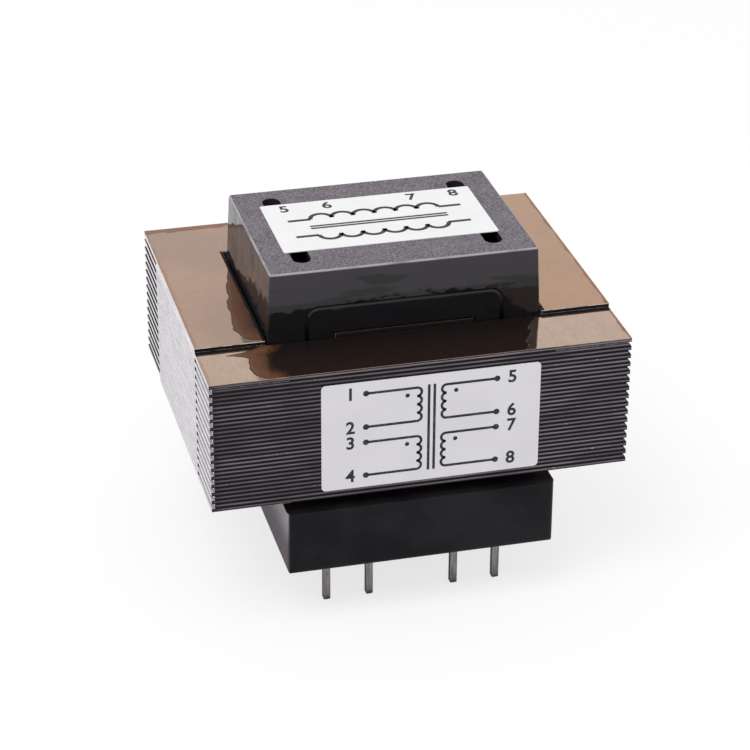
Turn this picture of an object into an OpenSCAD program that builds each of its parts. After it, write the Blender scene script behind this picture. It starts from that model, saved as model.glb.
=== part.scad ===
// Laminated transformer for a circuit board: an interleaved E and I core, a split coil
// former with its windings, a moulded cover over the coil and a pin housing under it.
// Units are millimetres. The origin is the centre of the pin pattern on the housing's
// underside, +X runs along the core's long side, +Z up. The primary pins are at -Y.

/* [Core] */
// Width of the core's middle leg, which carries the coil
tongue_w = 19.05; // [17:0.05:22]
// Width of the side legs, of the yoke and of the separate bar
leg_w = 9.525; // [8:0.025:12]
// Width of each window between the legs
window_w = 9.525; // [9:0.025:12]
// Length of each window
window_l = 28.575; // [28:0.025:34]
// Height that one ply takes up in the stack
ply_pitch = 0.605; // [0.5:0.005:0.7]
// Film of varnish between two plies
ply_gap = 0.025; // [0.01:0.005:0.05]
// Number of plies, an even number so that the top ply has its yoke at the back
ply_count = 32; // [26:2:34]
// How much shorter the separate bar is than the core, at each end
bar_short = 0.4; // [0:0.1:0.8]
// Slit between the end of the legs and the separate bar
joint_gap = 0.2; // [0.1:0.05:0.4]

/* [Cover] */
// Height of the cover's top above the core
cover_rise = 9.41; // [8.6:0.01:12]
// Play of the cover between the two yokes, front and back together
cover_play = 1.8; // [0.6:0.05:3]
// Wall of the cover
cover_wall = 1.1; // [0.9:0.05:1.4]
// Inward lean of each side wall between the core and the cover's top
cover_draft = 0.45; // [0:0.05:0.8]
// Gap between the cover's skirt and the outer leg of the core
skirt_gap = 0.25; // [0.1:0.05:0.5]
// Gap between the cover's front wall and the front yoke
yoke_gap = 0.15; // [0.05:0.05:0.3]
// Radius on the cover's outer edges
cover_r = 0.35; // [0.2:0.05:0.6]
// Width of the four slots in the cover's top
slot_w = 2.45; // [1.6:0.05:3]
// Length of each slot
slot_l = 6; // [4:0.5:8]
// Distance from the cover's side to the middle of a slot
slot_side = 5.2; // [4:0.05:7]
// Distance from the cover's end to the outer end of a slot
slot_margin = 2.74; // [2:0.02:4]
// Width of the end wall on each side of the arch, where the coil former shows
arch_side = 5.1; // [3.5:0.1:7]
// Height of the arch above the core
arch_h = 4.2; // [3:0.1:6]
// Radius of the arch's upper corners
arch_r = 1.9; // [1:0.1:2.5]

/* [Coil former] */
// Clearance round the core's tongue
tongue_gap = 0.2; // [0.1:0.05:0.3]
// Wall of the square tube that the coil is wound on
tube_wall = 1; // [0.8:0.1:1.4]
// Thickness of the three flanges
flange_t = 1; // [0.8:0.1:1.4]
// Groove between the arch in the cover and the collar that fills it
collar_groove = 0.6; // [0.3:0.1:0.8]
// Clearance between the former and the shells round it
former_gap = 0.15; // [0.05:0.05:0.25]
// Radius of the flanges' corners
flange_r = 1; // [0.5:0.1:1.5]

/* [Windings] */
// Build of each inner winding
inner_build = 2.6; // [2:0.1:2.8]
// Distance that the finished coil stays inside the edge of the flanges
coil_air = 0.9; // [0.6:0.1:1.5]
// Diameter of the wire of the outer primary winding
primary_wire = 0.6; // [0.5:0.05:1]
// Diameter of the wire of the outer secondary winding
secondary_wire = 0.9; // [0.6:0.05:1.2]
// Thickness of one wrap of insulating tape
tape_t = 0.2; // [0.1:0.05:0.25]
// Gap between a winding and a flange
wind_gap = 0.1; // [0.05:0.05:0.3]
// Diameter of the wire that leads to a pin
lead_d = 0.5; // [0.3:0.05:0.7]

/* [Pin housing] */
// Height of the housing
base_h = 9.44; // [9:0.02:11]
// Gap between the housing and the underside of the core
base_gap = 1.6; // [1:0.1:2.5]
// Distance that the housing's sides stand in from the cover's skirt
base_inset = 0.31; // [0:0.01:0.5]
// Side wall of the housing
base_wall = 1.25; // [1:0.05:1.6]
// Floor of the housing
base_floor = 1.3; // [1:0.1:1.6]
// Radius of the housing's upright and lower edges
base_r = 0.8; // [0.4:0.1:1.2]
// Distance from a row of pins to the housing's end face
pin_edge = 5.59; // [5:0.01:7]
// Thickness of the wall between the coil and a wiring trough
trough_wall = 1.6; // [1.2:0.1:2]
// Clearance between a lead and the trough's outer walls
trough_air = 0.3; // [0.2:0.1:1]
// Depth of a wiring trough
trough_depth = 4.5; // [3.5:0.1:5.5]

/* [Pins] */
// Side of the square pins
pin_s = 0.95; // [0.6:0.05:1.2]
// Length of a pin below the housing
pin_out = 7.95; // [4:0.05:10]
// Height of a pin above the trough's floor
pin_head = 3; // [2:0.1:3.5]
// Distance between the two middle pins of a row
pin_mid = 12; // [8:0.1:16]
// Distance between an outer pin and the next one
pin_pitch = 6; // [4:0.1:7]
// Distance between the two rows of pins
pin_rows = 35.8; // [34:0.1:40]
// Chamfer on the tips of a pin
pin_cham = 0.22; // [0.1:0.02:0.28]
// Clearance of a pin in its hole, on each side
pin_fit = 0.02; // [0.01:0.01:0.05]

/* [Labels] */
// Thickness of the labels
label_t = 0.1; // [0.05:0.05:0.2]
// Width of the top label
top_label_w = 29.7; // [20:0.1:32]
// Depth of the top label
top_label_d = 15.4; // [10:0.1:18]
// Offset of the top label from the middle of the cover, to the right
top_label_x = -0.2; // [-1:0.1:1]
// Offset of the top label from the middle of the cover, to the back
top_label_y = 0.45; // [-1:0.05:1]
// Radius of the top label's corners
top_label_r = 0.3; // [0.1:0.1:1]
// Width of the front label
front_label_w = 29.8; // [20:0.1:40]
// Height of the front label
front_label_h = 15.7; // [8:0.1:16]
// Offset of the front label from the middle of the core, to the right
front_label_x = 1.1; // [-5:0.1:5]
// Offset of the front label from the middle of the stack, downwards
front_label_z = 0.7; // [0:0.1:1.2]
// Radius of the front label's corners
front_label_r = 0.6; // [0.2:0.1:1.5]

/* [Hidden] */
$fn = 48;
EPS = 0.01;

function e_name(i) = str("e_lamination_", i < 10 ? "0" : "", i);
function pin_name(i) = str("pin_", i);

// Core, in plan and in height
core_w = tongue_w + 2 * window_w + 2 * leg_w;
core_d = window_l + 2 * leg_w;
core_z = base_h + base_gap;
core_h = ply_count * ply_pitch - ply_gap;
core_top = core_z + core_h;
// The former is pushed against the front yoke, so the core sits back from the pins
core_y = cover_play / 2 - yoke_gap;

// Cover
skirt_x = tongue_w / 2 + window_w - skirt_gap;
cover_x = skirt_x - cover_draft;
cover_y = (window_l - cover_play) / 2;
cover_top = core_top + cover_rise;
cover_in = cover_top - cover_wall;
arch_x = skirt_x - arch_side;
slot_x = cover_x - slot_side;
slot_end = cover_y - slot_margin;

// Pin housing
base_x = skirt_x - base_inset;
base_y = pin_rows / 2 + pin_edge;
trough_floor = base_h - trough_depth;
pin_xs = [-pin_mid / 2 - pin_pitch, -pin_mid / 2, pin_mid / 2, pin_mid / 2 + pin_pitch];

// Coil former: it fits in the cover above the core and in the housing below it
former_x = min(cover_x - cover_wall, base_x - base_wall) - former_gap;
former_y = cover_y - cover_wall - former_gap;
former_top = cover_in - former_gap;
tube_in_x = tongue_w / 2 + tongue_gap;
tube_in_low = core_z - tongue_gap;
tube_in_top = core_top + tongue_gap;
tube_z = (tube_in_low + tube_in_top) / 2;
tube_h = tube_in_top - tube_in_low + 2 * tube_wall;
tube_w = 2 * (tube_in_x + tube_wall);
tube_r = 0.4;
collar_x = arch_x - collar_groove;
collar_top = core_top + arch_h - collar_groove;

// Windings: the front section holds the primary, the back one the secondary
section_l = former_y - 1.5 * flange_t;
section_y = (former_y - flange_t / 2) / 2;
wind_l = section_l - 2 * wind_gap;
wind_air = 0.05;
outer_start = wind_air + inner_build + tape_t;
outer_build = former_x - coil_air - tube_w / 2 - outer_start - tape_t;
lead_z = trough_floor + pin_head - lead_d;
lead_slot_w = 2 * lead_d;
wrap_r = pin_s / sqrt(2) + lead_d / 2 + wind_air;

// Rectangle with round corners, centred
module round_rect(w, h, r) {
    square([w - 2 * r, h], center = true);
    square([w, h - 2 * r], center = true);
    for (x = [-1, 1], y = [-1, 1])
        translate([x * (w / 2 - r), y * (h / 2 - r)]) circle(r = r);
}

// Extrudes a shape drawn in X and Z from y = y0 to y = y1
module along_y(y0, y1) {
    translate([0, y1, 0]) rotate([90, 0, 0]) linear_extrude(y1 - y0) children();
}

// Extrudes a shape drawn in Y and Z from x = -x1 to x = x1
module along_x(x1) {
    translate([-x1, 0, 0]) rotate([90, 0, 90]) linear_extrude(2 * x1) children();
}

// Height of the underside of a ply
function ply_z(i) = core_z + (i - 1) * ply_pitch;

// Outline of an E with its yoke at the back, on the core's own centre
module e_outline() {
    difference() {
        translate([-core_w / 2, -window_l / 2]) square([core_w, window_l + leg_w]);
        for (side = [-1, 1])
            translate([side * (tongue_w + window_w) / 2, -EPS])
            square([window_w, window_l + 2 * EPS], center = true);
    }
}

// One E ply: even plies have their yoke at the back, odd ones at the front
module e_lamination(i) {
    color([0.62, 0.53, 0.44])
        translate([0, core_y, ply_z(i)])
        linear_extrude(ply_pitch - ply_gap)
        rotate(i % 2 == 0 ? 0 : 180) e_outline();
}

// The separate bars that close the E plies at one end. The top ply is left open.
module i_bars(first, last, side) {
    color([0.5, 0.44, 0.38])
        for (i = [first : 2 : last])
            translate([0, core_y + side * (core_d / 2 - (leg_w - joint_gap) / 2), ply_z(i)])
            linear_extrude(ply_pitch - ply_gap)
            square([core_w - 2 * bar_short, leg_w - joint_gap], center = true);
}

// Outline of a flange in X and Z, from the housing's floor to the cover's inside
module flange_outline() {
    translate([0, (base_floor + former_top) / 2])
        round_rect(2 * former_x, former_top - base_floor, flange_r);
}

// Outline of the collar that fills the arch, down to the housing
module collar_outline() {
    round_top(collar_x, base_h, collar_top, arch_r - collar_groove);
}

// Upright rectangle with two round upper corners
module round_top(x, z0, z1, r) {
    translate([-x, z0]) square([2 * x, z1 - r - z0]);
    translate([-x + r, z0]) square([2 * (x - r), z1 - z0]);
    for (side = [-1, 1]) translate([side * (x - r), z1 - r]) circle(r = r);
}

// Split former: a square tube with three flanges and a collar at each end
module coil_former() {
    color([0.1, 0.1, 0.11]) difference() {
        union() {
            along_y(-former_y, former_y) translate([0, tube_z]) round_rect(tube_w, tube_h, tube_r);
            along_y(-former_y, -former_y + flange_t) flange_outline();
            along_y(-flange_t / 2, flange_t / 2) flange_outline();
            along_y(former_y - flange_t, former_y) flange_outline();
            along_y(-cover_y, -former_y + EPS) collar_outline();
            along_y(former_y - EPS, cover_y) collar_outline();
        }
        along_y(-cover_y - EPS, cover_y + EPS)
            translate([-tube_in_x, tube_in_low]) square([2 * tube_in_x, tube_in_top - tube_in_low]);
        lead_slots(-cover_y - EPS, -former_y + flange_t + EPS);
        lead_slots(former_y - flange_t - EPS, cover_y + EPS);
    }
}

// Slots for the leads, open at the lower edge of an end flange
module lead_slots(y0, y1) {
    for (x = pin_xs)
        translate([x + wrap_r - lead_slot_w / 2, y0, base_floor - EPS])
        cube([lead_slot_w, y1 - y0, lead_z + lead_d - base_floor]);
}

// A band round the former, in one section: side is -1 at the front
module band(start, build, side) {
    y = side * section_y;
    along_y(y - wind_l / 2, y + wind_l / 2) translate([0, tube_z]) difference() {
        round_rect(tube_w + 2 * (start + build), tube_h + 2 * (start + build), tube_r + start + build);
        round_rect(tube_w + 2 * start, tube_h + 2 * start, tube_r + start);
    }
}

// Section of a winding whose outer layer shows its turns, from x = 0 outwards
module turns_section(build, wire) {
    turns = floor(wind_l / wire);
    pitch = wind_l / turns;
    translate([0, -wind_l / 2]) square([build - wire / 2, wind_l]);
    for (i = [0.5 : turns - 0.5])
        translate([build - wire / 2, i * pitch - wind_l / 2]) circle(d = wire, $fn = 24);
}

// A winding with round turns on its outside: straight sides joined by turned corners
module turns(start, build, wire, side) {
    flat = [tube_w / 2 - tube_r, tube_h / 2 - tube_r];
    translate([0, side * section_y, tube_z]) rotate([90, 0, 0])
        for (quarter = [0 : 3]) rotate(90 * quarter) {
            half = quarter % 2 == 0 ? flat : [flat[1], flat[0]];
            translate([half[0] + tube_r + start, half[1], 0]) rotate([90, 0, 0])
                linear_extrude(2 * half[1]) turns_section(build, wire);
            translate([half[0], half[1], 0]) rotate_extrude(angle = 90)
                translate([tube_r + start, 0]) turns_section(build, wire);
        }
}

module inner_winding(side) {
    color([0.72, 0.42, 0.2]) band(wind_air, inner_build, side);
}

module inner_tape(side) {
    color([0.2, 0.19, 0.17]) band(wind_air + inner_build, tape_t, side);
}

module outer_winding(side, wire) {
    color([0.76, 0.45, 0.22]) turns(outer_start, outer_build, wire, side);
}

module outer_wrap(side) {
    color([0.2, 0.19, 0.17]) band(outer_start + outer_build, tape_t, side);
}

// Lead wires of one section: each runs from the coil's end face to its pin and hooks round it
module leads(side) {
    y_coil = side * (section_y + wind_l / 2);
    y_pin = side * pin_rows / 2;
    color([0.78, 0.5, 0.26]) for (x = pin_xs) {
        translate([x + wrap_r, min(y_coil, y_pin), lead_z]) rotate([-90, 0, 0])
            cylinder(d = lead_d, h = abs(y_pin - y_coil));
        translate([x, y_pin, lead_z]) mirror([0, side < 0 ? 1 : 0, 0])
            rotate_extrude(angle = 270) translate([wrap_r, 0]) circle(d = lead_d);
    }
}

// Outer form of the cover: drafted above the core, straight in the windows
module cover_outer() {
    hull() for (x = [-1, 1], y = [-1, 1]) {
        translate([x * (cover_x - cover_r), y * (cover_y - cover_r), cover_top - cover_r])
            sphere(r = cover_r, $fn = 24);
        translate([x * (skirt_x - cover_r), y * (cover_y - cover_r), core_top])
            cylinder(r = cover_r, h = EPS, $fn = 24);
    }
    translate([0, 0, base_h]) linear_extrude(core_top - base_h + EPS / 2)
        round_rect(2 * skirt_x, 2 * cover_y, cover_r);
}

// Space inside the cover, open at the bottom
module cover_inner() {
    in_y = cover_y - cover_wall;
    low = base_h - EPS;
    along_y(-in_y, in_y) polygon([
        [-skirt_x + cover_wall, low],
        [skirt_x - cover_wall, low],
        [skirt_x - cover_wall, core_top],
        [cover_x - cover_wall, cover_in],
        [-cover_x + cover_wall, cover_in],
        [-skirt_x + cover_wall, core_top],
    ]);
}

// A slot through the cover's top, from its outer end inwards
module cover_slot() {
    run = slot_l - slot_w;
    translate([slot_x, slot_end - slot_w / 2 - run / 2, cover_in - EPS])
        linear_extrude(cover_wall + 2 * EPS) {
            square([slot_w, run], center = true);
            for (end = [-1, 1]) translate([0, end * run / 2]) circle(d = slot_w);
        }
}

module top_cover() {
    color([0.12, 0.12, 0.13]) difference() {
        cover_outer();
        cover_inner();
        along_y(-cover_y - EPS, cover_y + EPS)
            round_top(arch_x, base_h - EPS, core_top + arch_h, arch_r);
        for (x = [0, 1], y = [0, 1]) mirror([x, 0, 0]) mirror([0, y, 0]) cover_slot();
    }
}

// Side view of the housing with round lower edges
module base_profile(half) {
    translate([-half, base_r]) square([2 * half, base_h - base_r]);
    translate([-half + base_r, 0]) square([2 * (half - base_r), base_h]);
    for (side = [-1, 1]) translate([side * (half - base_r), base_r]) circle(r = base_r);
}

// A wiring trough round the heads of one row of pins: side is -1 at the front
module trough(side, near) {
    far = pin_rows / 2 + wrap_r + lead_d / 2 + trough_air;
    half = pin_xs[3] + wrap_r + lead_d / 2 + trough_air;
    translate([-half, side > 0 ? near : -far, trough_floor])
        cube([2 * half, far - near, trough_depth + EPS]);
}

module pin_housing() {
    in_x = former_x + former_gap;
    in_y = former_y + former_gap;
    near = in_y + trough_wall;
    color([0.1, 0.1, 0.11]) difference() {
        intersection() {
            linear_extrude(base_h) round_rect(2 * base_x, 2 * base_y, base_r);
            along_y(-base_y, base_y) base_profile(base_x);
            along_x(base_x) base_profile(base_y);
        }
        translate([-in_x, -in_y, base_floor]) cube([2 * in_x, 2 * in_y, base_h]);
        for (side = [-1, 1]) {
            trough(side, near);
            for (x = pin_xs) {
                translate([x, side * pin_rows / 2, 0])
                    cube([pin_s + 2 * pin_fit, pin_s + 2 * pin_fit, 2 * base_h], center = true);
                translate([x + wrap_r - lead_slot_w / 2, side > 0 ? in_y - EPS : -near - EPS,
                           lead_z - lead_d])
                    cube([lead_slot_w, trough_wall + 2 * EPS, base_h]);
            }
        }
    }
}

// Side view of a pin with chamfered ends
module pin_profile() {
    s = pin_s / 2;
    c = pin_cham;
    top = trough_floor + pin_head;
    polygon([
        [-s + c, -pin_out], [s - c, -pin_out], [s, -pin_out + c], [s, top - c],
        [s - c, top], [-s + c, top], [-s, top - c], [-s, -pin_out + c],
    ]);
}

// Pins 1 to 4 are the front row and 5 to 8 the back row, from left to right
module pin(i) {
    x = pin_xs[(i - 1) % 4];
    y = (i > 4 ? 1 : -1) * pin_rows / 2;
    color([0.75, 0.74, 0.72]) translate([x, y, 0]) intersection() {
        along_y(-pin_s / 2, pin_s / 2) pin_profile();
        along_x(pin_s / 2) pin_profile();
    }
}

module top_label() {
    color([0.95, 0.95, 0.95]) translate([top_label_x, top_label_y, cover_top])
        linear_extrude(label_t) round_rect(top_label_w, top_label_d, top_label_r);
}

module front_label() {
    front = core_y - core_d / 2;
    middle = (core_z + core_top) / 2 - front_label_z;
    color([0.82, 0.82, 0.84]) along_y(front - label_t, front)
        translate([front_label_x, middle]) round_rect(front_label_w, front_label_h, front_label_r);
}

for (i = [1 : ply_count]) e_lamination(i);
i_bars(2, ply_count - 1, -1);  // i_bars_front
i_bars(1, ply_count, 1);  // i_bars_back
coil_former();
inner_winding(-1);  // primary_inner
inner_tape(-1);  // primary_tape
outer_winding(-1, primary_wire);  // primary_outer
outer_wrap(-1);  // primary_wrap
inner_winding(1);  // secondary_inner
inner_tape(1);  // secondary_tape
outer_winding(1, secondary_wire);  // secondary_outer
outer_wrap(1);  // secondary_wrap
leads(-1);  // primary_leads
leads(1);  // secondary_leads
top_cover();
pin_housing();
for (i = [1 : 8]) pin(i);
top_label();
front_label();
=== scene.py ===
"""Looks of a laminated board-mount transformer: finishes, print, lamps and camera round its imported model."""
import logging
import math
from dataclasses import dataclass, field
from enum import Enum

import bmesh
import bpy
from mathutils import Matrix, Vector, kdtree, noise


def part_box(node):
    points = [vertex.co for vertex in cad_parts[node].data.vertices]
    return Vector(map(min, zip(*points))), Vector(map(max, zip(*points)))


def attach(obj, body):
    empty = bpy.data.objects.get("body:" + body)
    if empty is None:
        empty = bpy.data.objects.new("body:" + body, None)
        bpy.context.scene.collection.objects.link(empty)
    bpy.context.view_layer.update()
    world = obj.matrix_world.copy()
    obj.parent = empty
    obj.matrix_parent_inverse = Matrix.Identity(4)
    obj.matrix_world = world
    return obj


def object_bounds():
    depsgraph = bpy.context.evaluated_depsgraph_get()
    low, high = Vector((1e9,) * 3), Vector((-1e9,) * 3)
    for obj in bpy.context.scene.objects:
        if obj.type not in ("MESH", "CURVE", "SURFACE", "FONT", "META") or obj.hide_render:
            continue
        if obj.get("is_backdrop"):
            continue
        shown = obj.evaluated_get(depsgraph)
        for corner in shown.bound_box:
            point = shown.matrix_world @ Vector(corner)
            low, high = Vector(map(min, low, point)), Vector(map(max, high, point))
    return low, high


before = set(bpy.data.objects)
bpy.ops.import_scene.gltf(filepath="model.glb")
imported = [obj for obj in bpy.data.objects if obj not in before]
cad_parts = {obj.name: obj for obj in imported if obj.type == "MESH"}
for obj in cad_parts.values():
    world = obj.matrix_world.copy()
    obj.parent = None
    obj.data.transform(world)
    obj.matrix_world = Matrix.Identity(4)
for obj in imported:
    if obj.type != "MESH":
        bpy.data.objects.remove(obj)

MM = 0.001
LOG = logging.getLogger("transformer")
Colour = tuple[float, float, float]
Triple = tuple[float, float, float]
Point = tuple[float, float]
Socket = bpy.types.NodeSocket


class Face(Enum):
    """The side of the part that a label is stuck on."""

    TOP = "top"
    FRONT = "front"


class Shader:
    """One material's nodes, with a short call for each kind of node that the finishes use.

    Places are in millimetres in the part's own frame, and noise scales are in waves per millimetre.
    """

    def __init__(self, name: str) -> None:
        """Makes an empty material with a Principled surface.

        Args:
            name: the material's name.
        """
        self.material = bpy.data.materials.new(name)
        self.material.use_nodes = True
        self.tree = self.material.node_tree
        self.tree.nodes.clear()
        self.surface = self.add("ShaderNodeBsdfPrincipled")
        output = self.add("ShaderNodeOutputMaterial")
        self.tree.links.new(self.surface.outputs["BSDF"], output.inputs["Surface"])
        coordinates = self.add("ShaderNodeTexCoord")
        self.place = self.stretched(coordinates.outputs["Object"], (1 / MM, 1 / MM, 1 / MM))
        self.x, self.y, self.z = self.split(self.place)
        self.normal_x, self.normal_y, self.normal_z = self.split(coordinates.outputs["Normal"])

    def add(self, kind: str, **settings: object) -> bpy.types.Node:
        """Adds a node.

        Args:
            kind: the node's type.
            settings: the node's own properties.

        Returns:
            The node.
        """
        node = self.tree.nodes.new(kind)
        for key, value in settings.items():
            setattr(node, key, value)
        return node

    def plug(self, socket: Socket, value: Socket | float | Colour | Triple) -> None:
        """Links a value to a socket, or sets the socket to it.

        Args:
            socket: the input that takes the value.
            value: another node's output, a number, a colour or a factor for each axis.
        """
        if isinstance(value, bpy.types.NodeSocket):
            self.tree.links.new(value, socket)
        elif isinstance(value, tuple) and socket.type == "RGBA":
            socket.default_value = (*value, 1.0)
        else:
            socket.default_value = value

    def split(self, vector: Socket) -> tuple[Socket, Socket, Socket]:
        """Splits a vector in three.

        Args:
            vector: the vector.

        Returns:
            Its X, Y and Z.
        """
        node = self.add("ShaderNodeSeparateXYZ")
        self.plug(node.inputs[0], vector)
        return node.outputs[0], node.outputs[1], node.outputs[2]

    def stretched(self, vector: Socket, factors: Triple) -> Socket:
        """Multiplies a vector by a factor for each axis.

        Args:
            vector: the vector.
            factors: the factors for X, Y and Z.

        Returns:
            The new vector.
        """
        node = self.add("ShaderNodeVectorMath", operation="MULTIPLY")
        self.plug(node.inputs[0], vector)
        self.plug(node.inputs[1], factors)
        return node.outputs[0]

    def math(self, operation: str, a: Socket | float, b: Socket | float = 0.0) -> Socket:
        """Works out one sum.

        Args:
            operation: the Math node's operation.
            a: the first value.
            b: the second value, where the operation has one.

        Returns:
            The result.
        """
        node = self.add("ShaderNodeMath", operation=operation)
        self.plug(node.inputs[0], a)
        self.plug(node.inputs[1], b)
        return node.outputs[0]

    def product(self, *factors: Socket | float) -> Socket:
        """Multiplies values.

        Args:
            factors: the values.

        Returns:
            Their product.
        """
        result = factors[0]
        for factor in factors[1:]:
            result = self.math("MULTIPLY", result, factor)
        return result

    def size(self, value: Socket) -> Socket:
        """Drops a value's sign."""
        return self.math("ABSOLUTE", value)

    def step(self, value: Socket, low: float, high: float, start: float = 0.0, end: float = 1.0) -> Socket:
        """Goes smoothly from start to end as a value goes from low to high.

        Args:
            value: the value.
            low: where the change starts.
            high: where the change ends.
            start: the result up to low.
            end: the result from high on.

        Returns:
            The result.
        """
        node = self.add("ShaderNodeMapRange", interpolation_type="SMOOTHSTEP")
        for index, item in enumerate((value, low, high, start, end)):
            self.plug(node.inputs[index], item)
        return node.outputs[0]

    def noise(self, scale: float, detail: float = 3.0, stretch: Triple = (1.0, 1.0, 1.0)) -> Socket:
        """Makes noise over the part.

        Args:
            scale: waves per millimetre.
            detail: how many finer layers it has.
            stretch: a factor for each axis, where a small one draws the noise out along it.

        Returns:
            The noise, from 0 to 1 and mostly near a half.
        """
        node = self.add("ShaderNodeTexNoise")
        self.plug(node.inputs["Vector"], self.stretched(self.place, stretch))
        self.plug(node.inputs["Scale"], scale)
        self.plug(node.inputs["Detail"], detail)
        return node.outputs["Fac"]

    def mix(self, factor: Socket | float, a: Socket | Colour, b: Socket | Colour) -> Socket:
        """Mixes two colours.

        Args:
            factor: 0 for the first, 1 for the second.
            a: the first colour.
            b: the second colour.

        Returns:
            The mixed colour.
        """
        node = self.add("ShaderNodeMix", data_type="RGBA")
        self.plug(node.inputs[0], factor)
        self.plug(node.inputs[6], a)
        self.plug(node.inputs[7], b)
        return node.outputs[2]

    def bump(
        self, height: Socket, depth: float, strength: float = 1.0, under: Socket | None = None
    ) -> Socket:
        """Turns a height into a normal.

        Args:
            height: the height, from 0 to 1.
            depth: how deep the relief is, in millimetres.
            strength: how much of it shows.
            under: the normal of a coarser relief that this one lies on.

        Returns:
            The normal.
        """
        node = self.add("ShaderNodeBump")
        self.plug(node.inputs["Height"], height)
        self.plug(node.inputs["Distance"], depth * MM)
        self.plug(node.inputs["Strength"], strength)
        if under is not None:
            self.plug(node.inputs["Normal"], under)
        return node.outputs["Normal"]

    def finish(self, **inputs: Socket | float | Colour) -> bpy.types.Material:
        """Sets the surface's inputs.

        Args:
            inputs: the values, each under its socket's name in lower case with _ for a space.

        Returns:
            The finished material.
        """
        sockets = {socket.name.lower().replace(" ", "_"): socket for socket in self.surface.inputs}
        for key, value in inputs.items():
            self.plug(sockets[key], value)
        return self.material


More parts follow.
